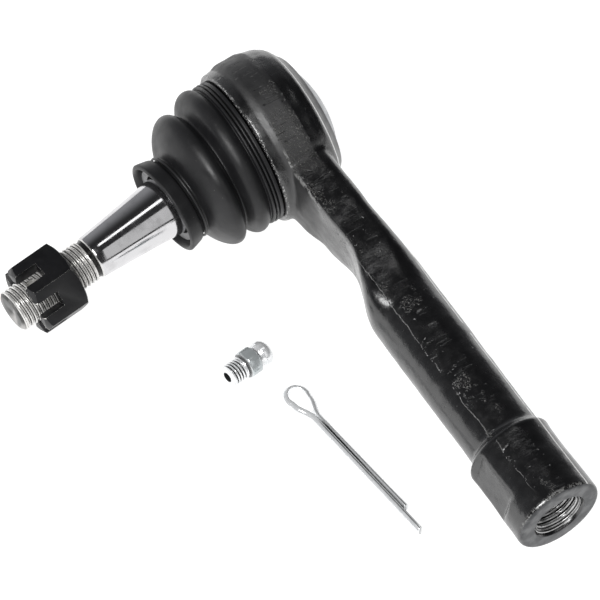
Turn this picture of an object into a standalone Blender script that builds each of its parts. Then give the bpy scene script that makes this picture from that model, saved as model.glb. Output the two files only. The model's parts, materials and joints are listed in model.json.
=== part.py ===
"""Outer tie rod end: forged housing, ball stud, bearing, boot, nut and loose fittings.

Everything is measured from the centre of the ball.  The shank runs along +X, the
stud along -Y and the flat of the joint faces +Z; an empty then lays the whole part
down on its head, its nut and the end of its shank.
"""
import math

import bmesh
import bpy
from mathutils import Vector

MM = 0.001
PART_NAME = "tie_rod_end"

# Rest pose on the table
BALL_X = -0.05822
BALL_Y = 0.03434
BALL_Z = 0.023196
REST_PITCH = math.radians(4.79)
REST_ROLL = math.radians(9.25)
STUD_SWING = math.radians(5.0)

# Housing
HEAD_R = 23.0
BOSS_R = 17.8
BOSS_END = 11.4
SHOULDER_AT = 8.1
SOCKET_R = 14.2
THROAT_R = 10.4
COVER_SEAT_R = 16.6
SHANK_R = 10.2
SHANK_SIDE = 1.1
SHANK_END = 139.0
END_R = 11.8
END_SIDE = 0.6
FLATS_START = 114.2
FLATS_END = 132.0
FLAT_HALF = 10.7
FLAT_TURN = math.radians(165.0)
BORE_R = 6.6
BORE_DEPTH = 46.0
BORE_MOUTH_R = 7.6

# Ball stud
BALL_R = 12.0
BALL_FLAT = 9.0
STUD_NECK_R = 7.2
TAPER_TOP_R = 8.35
TAPER_START = 35.6
TAPER_END = 59.9
TAPER_END_R = 6.2
THREAD_R = 5.95
STUD_TIP = 85.3
CROSS_HOLE_R = 1.8
CROSS_HOLE_AT = 77.2
SLOT_ANGLE = math.radians(96.0)

# Nut
NUT_AF = 19.0
NUT_INNER = 67.0
NUT_OUTER = 80.6
NUT_BORE_R = 6.25
SLOT_WIDTH = 4.6
SLOT_DEPTH = 6.6

# Loose pieces on the table
PIN_LEG_R = 1.55
PIN_GAP = 0.12
PIN_EYE_R = 2.3
PIN_LONG_LEG = 53.0
PIN_SHORT_LEG = 45.0
PIN_X = BALL_X + 0.0648
PIN_Y = BALL_Y - 0.0319
PIN_TURN = math.radians(4.8)
FITTING_X = BALL_X + 0.0497
FITTING_Y = BALL_Y - 0.0375
FITTING_TURN = math.radians(99.8)
FITTING_AF = 7.94

LATHE_STEPS = 44
LOFT_POINTS = 36


def clear_scene():
    for item in list(bpy.data.objects):
        bpy.data.objects.remove(item, do_unlink=True)


def make_material(name, colour, roughness, metallic):
    material = bpy.data.materials.new(name)
    material.use_nodes = True
    shader = material.node_tree.nodes["Principled BSDF"]
    shader.inputs["Base Color"].default_value = (*colour, 1.0)
    shader.inputs["Roughness"].default_value = roughness
    shader.inputs["Metallic"].default_value = metallic
    return material


def make_empty(name, parent=None, location=(0, 0, 0), rotation=(0, 0, 0)):
    empty = bpy.data.objects.new(name, None)
    bpy.data.collections[PART_NAME].objects.link(empty)
    empty.parent = parent
    empty.location = location
    empty.rotation_euler = rotation
    return empty


def add_object(name, data, parent, material=None):
    """Link a part, or a cutter if it has no material."""
    item = bpy.data.objects.new(name, data)
    item.parent = parent
    if material is None:
        bpy.data.collections["cutters"].objects.link(item)
        item.hide_render = True
        item.display_type = "WIRE"
    else:
        bpy.data.collections[PART_NAME].objects.link(item)
        data.materials.append(material)
    return item


def profile_mesh(name, points, closed):
    """A lathe profile: (radius, height) pairs in millimetres at +X."""
    mesh = bpy.data.meshes.new(name)
    verts = [(radius * MM, 0.0, height * MM) for radius, height in points]
    edges = [(i, i + 1) for i in range(len(points) - 1)]
    if closed:
        edges.append((len(points) - 1, 0))
    mesh.from_pydata(verts, edges, [])
    return mesh


def lathe(name, points, parent, material=None, closed=False, steps=LATHE_STEPS):
    """Turn a profile that runs down its outer side about the local Z axis."""
    item = add_object(name, profile_mesh(name, points, closed), parent, material)
    screw = item.modifiers.new("turn", "SCREW")
    screw.axis = "Z"
    screw.angle = math.tau
    screw.steps = steps
    screw.render_steps = steps
    screw.use_merge_vertices = True
    screw.merge_threshold = 0.00001
    screw.use_smooth_shade = True
    return item


def cut(item, tool, operation="DIFFERENCE"):
    boolean = item.modifiers.new(tool.name, "BOOLEAN")
    boolean.operation = operation
    boolean.solver = "EXACT"
    boolean.object = tool
    return boolean


def smooth(item, angle=32.0):
    item.data.polygons.foreach_set("use_smooth", [True] * len(item.data.polygons))
    item.data.set_sharp_from_angle(angle=math.radians(angle))


def mesh_from_rings(name, rings):
    """Skin a list of point rings and close both ends."""
    build = bmesh.new()
    rows = [[build.verts.new(point) for point in ring] for ring in rings]
    count = len(rows[0])
    for low, high in zip(rows, rows[1:]):
        for i in range(count):
            j = (i + 1) % count
            build.faces.new((low[i], low[j], high[j], high[i]))
    build.faces.new(list(reversed(rows[0])))
    build.faces.new(rows[-1])
    bmesh.ops.recalc_face_normals(build, faces=build.faces)
    mesh = bpy.data.meshes.new(name)
    build.to_mesh(mesh)
    build.free()
    return mesh


def ease(value, start, end):
    t = min(max((value - start) / (end - start), 0.0), 1.0)
    return t * t * (3.0 - 2.0 * t)


def between(value, table):
    """Smooth interpolation through (position, size) pairs."""
    if value <= table[0][0]:
        return table[0][1]
    for (x0, y0), (x1, y1) in zip(table, table[1:]):
        if value <= x1:
            return y0 + (y1 - y0) * ease(value, x0, x1)
    return table[-1][1]


# Neck and shank outline: stud side, cover side and half height along the shank
STUD_SIDE = ((8, -6.0), (19, -6.0), (34, -4.2), (45, -3.1), (67, -9.1), (110, -9.1))
COVER_SIDE = ((8, 8.0), (20, 8.3), (34, 8.7), (64, 11.3), (110, 11.3))
HALF_HEIGHT = ((8, 14.2), (20, 13.5), (36, 12.1), (67, 10.2), (110, 10.2))
SQUARENESS = ((8, 4.2), (42, 4.0), (67, 2.0), (110, 2.0))


def shank_section(x, centre, half_width, half_height, power):
    ring = []
    for i in range(LOFT_POINTS):
        angle = math.tau * i / LOFT_POINTS
        size = (abs(math.cos(angle)) ** power + abs(math.sin(angle)) ** power) ** (-1.0 / power)
        across = half_width * size * math.cos(angle)
        up = half_height * size * math.sin(angle)
        ring.append((x * MM, (centre + across) * MM, up * MM))
    return ring


def end_section(x, centre, radius, flat_half):
    """Round section with two opposite wrench flats."""
    ring = []
    for i in range(LOFT_POINTS):
        angle = math.tau * i / LOFT_POINTS
        facing = abs(math.cos(angle - FLAT_TURN))
        size = min(radius, flat_half / max(facing, 0.5))
        ring.append((x * MM, (centre + size * math.cos(angle)) * MM, size * math.sin(angle) * MM))
    return ring


def shank_rings():
    rings = []
    for x in (8, 13, 18, 22, 26, 30, 34, 38, 42, 46, 50, 54, 58, 62, 67, 78, 92, 107):
        low = between(x, STUD_SIDE)
        high = between(x, COVER_SIDE)
        rings.append(shank_section(x, (low + high) / 2, (high - low) / 2,
                                   between(x, HALF_HEIGHT), between(x, SQUARENESS)))
    for x, centre, radius, flat_half in (
            (FLATS_START - 1.6, SHANK_SIDE, SHANK_R, END_R),
            (FLATS_START - 0.8, SHANK_SIDE, SHANK_R + 0.3, END_R),
            (FLATS_START + 0.6, END_SIDE, END_R - 0.3, END_R),
            (FLATS_START + 1.2, END_SIDE, END_R, END_R),
            (FLATS_START + 2.4, END_SIDE, END_R, FLAT_HALF),
            (FLATS_END - 0.8, END_SIDE, END_R, FLAT_HALF),
            (FLATS_END, END_SIDE, END_R, END_R),
            (SHANK_END - 0.9, END_SIDE, END_R, END_R),
            (SHANK_END, END_SIDE, END_R - 0.9, END_R)):
        rings.append(end_section(x, centre, radius, flat_half))
    return rings


def make_housing(pose, socket, paint):
    mesh = mesh_from_rings("forged_housing", shank_rings())
    housing = add_object("forged_housing", mesh, pose, paint)
    head = lathe("head_blank", (
        (0, BOSS_END), (BOSS_R - 0.4, BOSS_END), (BOSS_R, BOSS_END - 0.4), (BOSS_R, SHOULDER_AT),
        (21.6, SHOULDER_AT), (22.1, SHOULDER_AT - 0.5), (22.5, 5.4), (HEAD_R, 3.2),
        (HEAD_R, -3.2), (22.6, -4.6), (22.0, -6.9), (21.0, -9.0), (19.9, -9.9),
        (17.3, -11.8), (COVER_SEAT_R, -12.2), (0, -12.2)), socket)
    cavity = lathe("socket_cutter", (
        (0, 12.0), (12.6, 12.0), (12.0, BOSS_END), (THROAT_R + 0.8, 9.2), (THROAT_R, 7.4),
        (THROAT_R, 6.8), (SOCKET_R, 3.6), (SOCKET_R, -9.6), (COVER_SEAT_R, -9.6),
        (COVER_SEAT_R, -11.5), (15.2, -11.5), (15.4, -13.5), (0, -13.5)), socket)
    end = make_empty("shank_end", pose, (SHANK_END * MM, END_SIDE * MM, 0), (0, math.pi / 2, 0))
    bore = lathe("bore_cutter", (
        (0, 2.0), (BORE_MOUTH_R + 1.5, 2.0), (BORE_MOUTH_R, 0.0), (BORE_R, -1.2),
        (BORE_R, -BORE_DEPTH), (0, -BORE_DEPTH - 3.6)), end, steps=40)
    cut(housing, head, "UNION")
    cut(housing, cavity)
    cut(housing, bore)
    smooth(housing)
    return housing


def ball_arc(radius, start_height, end_height, count):
    """Evenly turned points on a sphere, from one height down to another."""
    first = math.asin(start_height / radius)
    last = math.asin(end_height / radius)
    points = []
    for i in range(count):
        angle = first + (last - first) * i / (count - 1)
        points.append((radius * math.cos(angle), radius * math.sin(angle)))
    return points


def make_stud(stud_axis, steel):
    neck_height = math.sqrt(BALL_R ** 2 - STUD_NECK_R ** 2)
    profile = [(0, STUD_TIP), (THREAD_R - 1.1, STUD_TIP), (THREAD_R, STUD_TIP - 1.2),
               (THREAD_R, TAPER_END + 1.4), (THREAD_R - 0.35, TAPER_END + 1.0),
               (THREAD_R - 0.35, TAPER_END + 0.2), (TAPER_END_R, TAPER_END),
               (TAPER_TOP_R, TAPER_START), (TAPER_TOP_R, 20.0), (STUD_NECK_R, 15.0)]
    profile += ball_arc(BALL_R, neck_height, -BALL_FLAT, 13)
    profile += [(0, -BALL_FLAT)]
    stud = lathe("ball_stud", profile, stud_axis, steel, steps=40)
    hole = bpy.data.meshes.new("cross_hole_cutter")
    build = bmesh.new()
    bmesh.ops.create_cone(build, cap_ends=True, segments=16, radius1=CROSS_HOLE_R * MM,
                          radius2=CROSS_HOLE_R * MM, depth=20 * MM)
    build.to_mesh(hole)
    build.free()
    cutter = add_object("cross_hole_cutter", hole, stud_axis)
    cutter.location = (0, 0, CROSS_HOLE_AT * MM)
    cutter.rotation_euler = (0, math.pi / 2, SLOT_ANGLE)
    cut(stud, cutter)
    smooth(stud)
    return stud


def make_bearing(socket, plastic):
    lower = ball_arc(BALL_R + 0.15, 0.4, 5.6, 5)
    lathe("lower_bearing", [(11.5, 5.6), (13.8, 3.4), (13.8, 0.4)] + lower, socket,
          plastic, closed=True, steps=40)
    upper = ball_arc(BALL_R + 0.15, -7.8, -0.4, 6)
    lathe("upper_bearing", [(13.9, -0.4), (13.9, -8.0), (13.3, -8.6), (9.4, -8.6)] + upper,
          socket, plastic, closed=True, steps=40)


def helix_curve(name, radius, start, end, turns, wire_r, per_turn=20):
    curve = bpy.data.curves.new(name, "CURVE")
    curve.dimensions = "3D"
    curve.bevel_depth = wire_r * MM
    curve.bevel_resolution = 2
    curve.use_fill_caps = True
    count = int(turns * per_turn) + 1
    spline = curve.splines.new("POLY")
    spline.points.add(count - 1)
    for i in range(count):
        angle = math.tau * turns * i / (count - 1)
        height = start + (end - start) * i / (count - 1)
        spline.points[i].co = (radius * math.cos(angle) * MM, radius * math.sin(angle) * MM,
                               height * MM, 1.0)
    return curve


def make_preload_spring(socket, steel):
    coil = helix_curve("preload_spring", 10.4, -9.4, -10.9, 1.9, 0.6, 26)
    return add_object("preload_spring", coil, socket, steel)


def make_cover(socket, zinc):
    lathe("cover_plate", (
        (16.3, -9.9), (16.3, -11.2), (14.6, -11.2), (13.2, -12.9), (10.6, -14.5), (6.0, -15.8),
        (3.6, -16.2), (2.8, -16.2), (2.8, -14.6), (6.0, -14.3), (9.8, -13.1), (12.2, -11.6),
        (13.6, -9.9)), socket, zinc, closed=True)


BOOT_FOOT_END = 12.0
BOOT_NECK_START = 28.6
BOOT_OUTER = (
    (13.2, 35.7), (13.5, 35.2), (13.1, 33.4), (12.6, 31.5), (11.5, 31.0), (11.5, 29.0),
    (12.4, 28.5), (14.6, 27.8), (17.2, 26.3), (19.3, 24.3), (19.8, 22.4), (19.4, 21.0),
    (17.8, 19.9), (17.0, 19.2), (17.9, 18.2), (19.9, 17.0), (21.0, 15.8), (21.3, 14.6),
    (21.0, 13.4), (20.3, 12.4), (19.9, 12.0), (20.8, 11.6), (20.8, 10.8), (20.0, 10.7),
    (20.0, 9.6), (20.8, 9.5), (20.8, 8.4))
BOOT_INNER = (
    (18.1, 8.4), (18.1, 11.7), (18.9, 13.0), (19.2, 14.4), (18.4, 16.2), (15.7, 18.0),
    (14.9, 19.1), (15.9, 20.6), (17.5, 22.2), (17.2, 23.5), (15.3, 24.9), (12.6, 26.2),
    (10.0, 27.4), (8.7, 29.2), (8.7, 32.8), (11.2, 33.0), (11.7, 35.4))


def bend_with_stud(mesh):
    """Swing the small end of the boot with the stud and keep the big end on the housing."""
    for vertex in mesh.vertices:
        share = ease(vertex.co.z / MM, BOOT_FOOT_END, BOOT_NECK_START)
        angle = STUD_SWING * share
        x = vertex.co.x
        z = vertex.co.z
        vertex.co.x = x * math.cos(angle) + z * math.sin(angle)
        vertex.co.z = z * math.cos(angle) - x * math.sin(angle)


def make_boot(socket, rubber):
    steps = 36
    build = bmesh.new()
    profile = list(BOOT_OUTER) + list(BOOT_INNER)
    rows = []
    for i in range(steps):
        angle = math.tau * i / steps
        rows.append([build.verts.new((radius * math.cos(angle) * MM, radius * math.sin(angle) * MM,
                                      height * MM)) for radius, height in profile])
    for i in range(steps):
        here = rows[i]
        there = rows[(i + 1) % steps]
        for j in range(len(profile)):
            k = (j + 1) % len(profile)
            build.faces.new((here[j], here[k], there[k], there[j]))
    bmesh.ops.recalc_face_normals(build, faces=build.faces)
    mesh = bpy.data.meshes.new("dust_boot")
    build.to_mesh(mesh)
    build.free()
    bend_with_stud(mesh)
    boot = add_object("dust_boot", mesh, socket, rubber)
    smooth(boot, 40.0)
    return boot


def make_boot_rings(socket, stud_axis, steel):
    lathe("boot_neck_ring", ((12.3, 30.5), (12.3, 29.5), (11.8, 29.5), (11.8, 30.5)), stud_axis,
          steel, closed=True, steps=40)
    lathe("boot_collar_insert", ((10.9, 34.2), (10.9, 33.3), (9.0, 33.3), (9.0, 34.0)), stud_axis,
          steel, closed=True, steps=40)
    lathe("boot_retaining_ring", ((21.1, 10.4), (21.1, 9.9), (20.3, 9.9), (20.3, 10.4)), socket,
          steel, closed=True)


def hex_prism(name, across_flats, low, high, parent, material=None):
    build = bmesh.new()
    radius = across_flats / math.sqrt(3) * MM
    bmesh.ops.create_cone(build, cap_ends=True, segments=6, radius1=radius, radius2=radius,
                          depth=(high - low) * MM)
    bmesh.ops.translate(build, verts=build.verts, vec=(0, 0, (high + low) / 2 * MM))
    mesh = bpy.data.meshes.new(name)
    build.to_mesh(mesh)
    build.free()
    return add_object(name, mesh, parent, material)


def slot_box(name, parent, turn):
    build = bmesh.new()
    bmesh.ops.create_cube(build, size=1.0)
    bmesh.ops.scale(build, verts=build.verts,
                    vec=(30 * MM, SLOT_WIDTH * MM, (SLOT_DEPTH + 1.0) * MM))
    mesh = bpy.data.meshes.new(name)
    build.to_mesh(mesh)
    build.free()
    item = add_object(name, mesh, parent)
    item.location = (0, 0, (NUT_OUTER - SLOT_DEPTH + (SLOT_DEPTH + 1.0) / 2) * MM)
    item.rotation_euler = (0, 0, turn)
    return item


def make_nut(stud_axis, oxide):
    """Slotted hex nut; each slot opens through the middle of two flats."""
    turned = make_empty("nut_axis", stud_axis)
    nut = hex_prism("castle_nut", NUT_AF, NUT_INNER, NUT_OUTER, turned, oxide)
    for vertex in nut.data.vertices:
        x = vertex.co.x
        y = vertex.co.y
        corner = math.atan2(y, x) + SLOT_ANGLE
        reach = math.hypot(x, y)
        vertex.co.x = reach * math.cos(corner)
        vertex.co.y = reach * math.sin(corner)
    corner_r = NUT_AF / math.sqrt(3)
    chamfer = lathe("nut_chamfer_tool", (
        (0, NUT_OUTER), (NUT_AF / 2 - 0.2, NUT_OUTER), (corner_r + 0.1, NUT_OUTER - 1.3),
        (corner_r + 0.1, NUT_INNER + 0.9), (NUT_AF / 2, NUT_INNER), (0, NUT_INNER)),
        turned)
    bore = lathe("nut_bore_tool", (
        (0, NUT_OUTER + 1.0), (NUT_BORE_R + 1.6, NUT_OUTER + 1.0), (NUT_BORE_R, NUT_OUTER - 0.6),
        (NUT_BORE_R, NUT_INNER + 0.8), (NUT_BORE_R + 1.8, NUT_INNER - 1.0), (0, NUT_INNER - 1.0)),
        turned, steps=32)
    cut(nut, chamfer, "INTERSECT")
    cut(nut, bore)
    for i in range(3):
        cut(nut, slot_box("nut_slot_%d" % (i + 1), turned, SLOT_ANGLE + i * math.pi / 3))
    smooth(nut, 25.0)
    return nut


def pin_path():
    """Middle line of the folded wire, in the plane of the table, eye at the origin."""
    side = PIN_LEG_R * 0.5 + PIN_GAP / 2
    eye = PIN_EYE_R + PIN_LEG_R * 0.5
    leaving = [(9.4, side), (7.6, side * 1.1), (5.6, side * 1.7), (3.6, side * 2.6)]
    points = [(PIN_SHORT_LEG, side), (PIN_SHORT_LEG * 0.5, side)] + leaving
    for i in range(17):
        angle = math.radians(62.0 + 236.0 * i / 16)
        points.append((eye * 1.08 * math.cos(angle), eye * math.sin(angle)))
    points += [(x, -y) for x, y in reversed(leaving)]
    points += [(PIN_LONG_LEG * 0.5, -side), (PIN_LONG_LEG, -side)]
    return points


def half_round_section():
    """Half circle whose flat looks toward the other leg."""
    section = []
    for i in range(7):
        angle = math.radians(-90.0 + 180.0 * i / 6)
        section.append((PIN_LEG_R * (math.cos(angle) - 0.5), PIN_LEG_R * math.sin(angle)))
    return section


def make_pin(steel):
    path = pin_path()
    rings = []
    for i, (x, y) in enumerate(path):
        before = path[max(i - 1, 0)]
        after = path[min(i + 1, len(path) - 1)]
        along = Vector((after[0] - before[0], after[1] - before[1], 0)).normalized()
        out = Vector((along.y, -along.x, 0))
        rings.append([(Vector((x, y, 0)) + out * u) * MM + Vector((0, 0, v * MM))
                      for u, v in half_round_section()])
    mesh = mesh_from_rings("cotter_pin", rings)
    place = make_empty("cotter_pin_place", None, (PIN_X, PIN_Y, (PIN_LEG_R + 0.05) * MM),
                       (0, 0, PIN_TURN))
    pin = add_object("cotter_pin", mesh, place, steel)
    smooth(pin, 50.0)
    return pin


def make_fitting(zinc, steel):
    """Grease nipple on its side, one flat of the hex down, with its ball and spring."""
    height = FITTING_AF / 2 + 0.05
    place = make_empty("grease_fitting_axis", None, (FITTING_X, FITTING_Y, height * MM),
                       (0, math.pi / 2, FITTING_TURN))
    body = lathe("grease_fitting_body", (
        (0.9, 6.7), (2.1, 6.6), (2.9, 5.9), (3.4, 4.9), (3.4, 4.1), (3.0, 3.6), (2.6, 3.1),
        (2.6, 2.6), (3.4, 2.3), (3.4, 1.0), (3.4, -1.8), (2.7, -2.1), (2.7, -2.4), (3.1, -2.8),
        (3.1, -6.1), (2.6, -6.6), (1.3, -6.6), (1.3, 4.9), (0.75, 5.6), (0.6, 6.1)),
        place, zinc, closed=True, steps=28)
    block = hex_prism("fitting_hex_tool", FITTING_AF, -1.9, 2.1, place)
    half = FITTING_AF / 2
    edge = lathe("fitting_chamfer_tool", (
        (0, 2.1), (half, 2.1), (half + 0.7, 1.7), (half + 0.7, -1.5), (half, -1.9), (0, -1.9)),
        place, steps=28)
    centre = lathe("fitting_passage_tool", (
        (0, 4.0), (1.9, 4.0), (1.9, -4.0), (0, -4.0)), place, steps=28)
    cut(block, edge, "INTERSECT")
    cut(block, centre)
    cut(body, block, "UNION")
    smooth(body)
    lathe("grease_check_ball", [(0, 4.95)] + ball_arc_about(4.0, 0.95, 7) + [(0, 3.05)], place,
          steel, steps=16)
    coil = helix_curve("grease_check_spring", 0.75, 2.7, -5.6, 4.5, 0.16, 9)
    add_object("grease_check_spring", coil, place, steel)
    return body


def ball_arc_about(centre, radius, count):
    """Rim points of a ball centred on the axis, top to bottom, without its poles."""
    points = []
    for i in range(count):
        angle = math.radians(70.0 - 140.0 * i / (count - 1))
        points.append((radius * math.cos(angle), centre + radius * math.sin(angle)))
    return points


def main():
    clear_scene()
    for name in (PART_NAME, "cutters"):
        bpy.context.scene.collection.children.link(bpy.data.collections.new(name))
    paint = make_material("black_paint", (0.012, 0.012, 0.013), 0.38, 0.0)
    steel = make_material("polished_steel", (0.72, 0.71, 0.73), 0.16, 1.0)
    spring_steel = make_material("spring_steel", (0.30, 0.30, 0.31), 0.35, 1.0)
    zinc = make_material("zinc_plate", (0.78, 0.79, 0.80), 0.22, 1.0)
    oxide = make_material("black_oxide", (0.020, 0.020, 0.022), 0.34, 0.6)
    rubber = make_material("boot_rubber", (0.014, 0.014, 0.015), 0.52, 0.0)
    plastic = make_material("bearing_plastic", (0.82, 0.80, 0.72), 0.45, 0.0)

    pose = make_empty("rest_pose", None, (BALL_X, BALL_Y, BALL_Z), (REST_ROLL, REST_PITCH, 0))
    socket = make_empty("socket_axis", pose, (0, 0, 0), (math.pi / 2, 0, 0))
    stud_axis = make_empty("stud_axis", socket, (0, 0, 0), (0, STUD_SWING, 0))

    make_housing(pose, socket, paint)
    make_stud(stud_axis, steel)
    make_bearing(socket, plastic)
    make_preload_spring(socket, spring_steel)
    make_cover(socket, zinc)
    make_boot(socket, rubber)
    make_boot_rings(socket, stud_axis, spring_steel)
    make_nut(stud_axis, oxide)
    make_pin(zinc)
    make_fitting(zinc, spring_steel)


main()
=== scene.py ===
"""Looks of the tie rod end: every piece is made in millimetres and set on the frame."""
import json
import math

import bmesh
import bpy
from mathutils import Matrix, Vector, noise


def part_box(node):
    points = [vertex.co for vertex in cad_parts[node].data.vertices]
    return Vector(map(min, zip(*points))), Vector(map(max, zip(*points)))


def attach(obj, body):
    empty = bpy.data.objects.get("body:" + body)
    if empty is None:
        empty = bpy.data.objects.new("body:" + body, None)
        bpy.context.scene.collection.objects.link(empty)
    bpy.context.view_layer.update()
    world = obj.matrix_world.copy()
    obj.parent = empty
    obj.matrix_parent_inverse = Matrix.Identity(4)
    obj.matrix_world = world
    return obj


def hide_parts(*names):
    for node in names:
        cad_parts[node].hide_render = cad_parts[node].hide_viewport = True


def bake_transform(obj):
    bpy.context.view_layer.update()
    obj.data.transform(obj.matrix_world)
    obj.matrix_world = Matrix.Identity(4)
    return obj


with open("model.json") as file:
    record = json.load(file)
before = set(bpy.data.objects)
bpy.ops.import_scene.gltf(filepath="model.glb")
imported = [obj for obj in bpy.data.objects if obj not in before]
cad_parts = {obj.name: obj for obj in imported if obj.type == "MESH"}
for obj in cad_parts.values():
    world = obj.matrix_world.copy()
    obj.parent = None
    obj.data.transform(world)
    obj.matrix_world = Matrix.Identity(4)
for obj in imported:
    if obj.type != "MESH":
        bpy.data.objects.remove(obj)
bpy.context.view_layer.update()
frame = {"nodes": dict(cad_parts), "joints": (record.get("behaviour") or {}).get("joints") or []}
JOINTS = {joint["name"]: joint for joint in frame["joints"]}
MM = 0.001

# ---------------------------------------------------------------- places taken from the frame
BALL = Vector(JOINTS["bearing_turn"]["pos_m"])
SOCKET_OUT = Vector(JOINTS["bearing_turn"]["axis"]).normalized()
UP = Vector(JOINTS["stud_swing"]["axis"]).normalized()
SHANK = (-SOCKET_OUT).cross(UP).normalized()
STUD = Vector(JOINTS["stud_spin"]["axis"]).normalized()
NIPPLE = -Vector(JOINTS["grease_check_press"]["axis"]).normalized()


def placed(origin, x_axis, y_axis, z_axis):
    """Matrix from millimetres on three axes to metres in the frame."""
    turn = Matrix((x_axis, y_axis, z_axis)).transposed().to_4x4()
    return Matrix.Translation(origin) @ turn @ Matrix.Diagonal((MM, MM, MM, 1.0))


def middle(node):
    low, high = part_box(node)
    return (low + high) / 2


PART = placed(BALL, SHANK, -SOCKET_OUT, UP)
SOCKET = placed(BALL, SHANK, UP, SOCKET_OUT)
TILTED = placed(BALL, UP.cross(STUD), UP, STUD)
CHECK_BALL_AT = 4.0
NIPPLE_AXES = placed(middle("grease_check_ball") - NIPPLE * CHECK_BALL_AT * MM,
                     Vector((0, 0, -1)), NIPPLE.cross(Vector((0, 0, -1))), NIPPLE)
PIN_TURN = math.radians(4.8)
PIN_ALONG = Vector((math.cos(PIN_TURN), math.sin(PIN_TURN), 0))
PIN_EYE = Vector((BALL.x + 0.0648, BALL.y - 0.0319, middle("cotter_pin").z))
PIN = placed(PIN_EYE, PIN_ALONG, Vector((0, 0, 1)).cross(PIN_ALONG), Vector((0, 0, 1)))

# ---------------------------------------------------------------- sizes in millimetres
SHANK_R = 10.2
SHANK_SIDE = 1.1
SHANK_END = 139.0
END_R = 12.1
END_SIDE = 0.6
FLATS_START = 114.2
FLATS_END = 131.8
FLAT_HALF = 10.7
FLAT_TURN = math.radians(163.0)
BORE_MAJOR_R = 7.05
BORE_MINOR_R = 6.25
BORE_MOUTH_R = 7.6
BORE_DEPTH = 44.0
BORE_PITCH = 1.5
BORE_THREAD_DEPTH = 0.8
PARTING_AT = 3.8
STUD_TIP = 85.3
THREAD_R = 6.0
THREAD_DEPTH = 0.72
THREAD_PITCH = 1.25
SLOT_ANGLE = math.radians(96.0)
NUT_AF = 19.0
NUT_INNER = 67.0
NUT_OUTER = 80.6
NUT_BORE_R = 6.25
SLOT_WIDTH = 4.6
SLOT_DEPTH = 6.6
NUT_EDGE = 0.24
NIPPLE_AF = 7.5
NIPPLE_R = 3.17
NIPPLE_PITCH = 0.907
NIPPLE_THREAD_DEPTH = 0.5
CROSS_HOLE_R = 1.8
CROSS_HOLE_AT = 77.2
STUD_LEAN = math.acos(max(-1.0, min(1.0, STUD.dot(SOCKET_OUT))))


# ---------------------------------------------------------------- mesh helpers
def ease(value, start, end):
    t = min(max((value - start) / (end - start), 0.0), 1.0)
    return t * t * (3.0 - 2.0 * t)


def between(value, table):
    """Smooth interpolation through (position, size) pairs."""
    if value <= table[0][0]:
        return table[0][1]
    for (x0, y0), (x1, y1) in zip(table, table[1:]):
        if value <= x1:
            return y0 + (y1 - y0) * ease(value, x0, x1)
    return table[-1][1]


def new_piece(name, mesh, matrix, body=None, materials=(), sharp=34.0):
    """Put a mesh made in millimetres on the frame and let it ride on a body."""
    mesh.transform(matrix)
    for i, material in enumerate(materials):
        if i < len(mesh.materials):
            mesh.materials[i] = material
        else:
            mesh.materials.append(material)
    mesh.shade_smooth()
    mesh.set_sharp_from_angle(angle=math.radians(sharp))
    piece = bpy.data.objects.new(name, mesh)
    bpy.context.scene.collection.objects.link(piece)
    if body:
        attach(piece, body)
    return piece


def grid_mesh(name, rows, closed_rows=False, caps=True):
    """Skin rows of points; each row is a closed ring."""
    build = bmesh.new()
    rings = [[build.verts.new(point) for point in row] for row in rows]
    pairs = list(zip(rings, rings[1:]))
    if closed_rows:
        pairs.append((rings[-1], rings[0]))
    count = len(rings[0])
    for low, high in pairs:
        for i in range(count):
            j = (i + 1) % count
            build.faces.new((low[i], low[j], high[j], high[i]))
    if caps and not closed_rows:
        build.faces.new(list(reversed(rings[0])))
        build.faces.new(rings[-1])
    bmesh.ops.recalc_face_normals(build, faces=build.faces)
    mesh = bpy.data.meshes.new(name)
    build.to_mesh(mesh)
    build.free()
    return mesh


def ring(radius, height, steps, wave=None):
    row = []
    for i in range(steps):
        angle = math.tau * i / steps
        size = radius if wave is None else radius + wave(angle, height)
        row.append((size * math.cos(angle), size * math.sin(angle), height))
    return row


def turned(name, profile, steps=128, closed=False):
    """Solid of revolution about local Z from (radius, height) pairs."""
    rows = [ring(max(radius, 0.01), height, steps) for radius, height in profile]
    return grid_mesh(name, rows, closed_rows=closed)


def rounded(profile, per_span=5, closed=False):
    """Catmull-Rom curve through the points of a profile."""
    count = len(profile)
    spans = count if closed else count - 1
    out = []
    for i in range(spans):
        if closed:
            p = [profile[(i + k - 1) % count] for k in range(4)]
        else:
            p = [profile[max(i - 1, 0)], profile[i], profile[i + 1], profile[min(i + 2, count - 1)]]
        for k in range(per_span):
            t = k / per_span
            out.append(tuple(0.5 * (2 * b + (c - a) * t + (2 * a - 5 * b + 4 * c - d) * t * t
                                    + (3 * b - a - 3 * c + d) * t ** 3)
                             for a, b, c, d in zip(*p)))
    if not closed:
        out.append(profile[-1])
    return out


def thread_wave(pitch, depth, start, end, fade):
    """Height of a V thread below its crest, fading at both ends of its run."""
    def wave(angle, height):
        phase = (height / pitch - angle / math.tau) % 1.0
        groove = min(max(abs(2 * phase - 1) * 1.25 - 0.1, 0.0), 1.0)
        run = ease(height, start, start + fade) * (1 - ease(height, end - fade, end))
        return -depth * (1.0 - groove) * run
    return wave


def thread_rows(radius, low, high, pitch, depth, steps, per_pitch, fade):
    wave = thread_wave(pitch, depth, low, high, fade)
    count = int((high - low) / pitch * per_pitch)
    return [ring(radius, low + (high - low) * i / count, steps, wave) for i in range(count + 1)]


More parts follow.
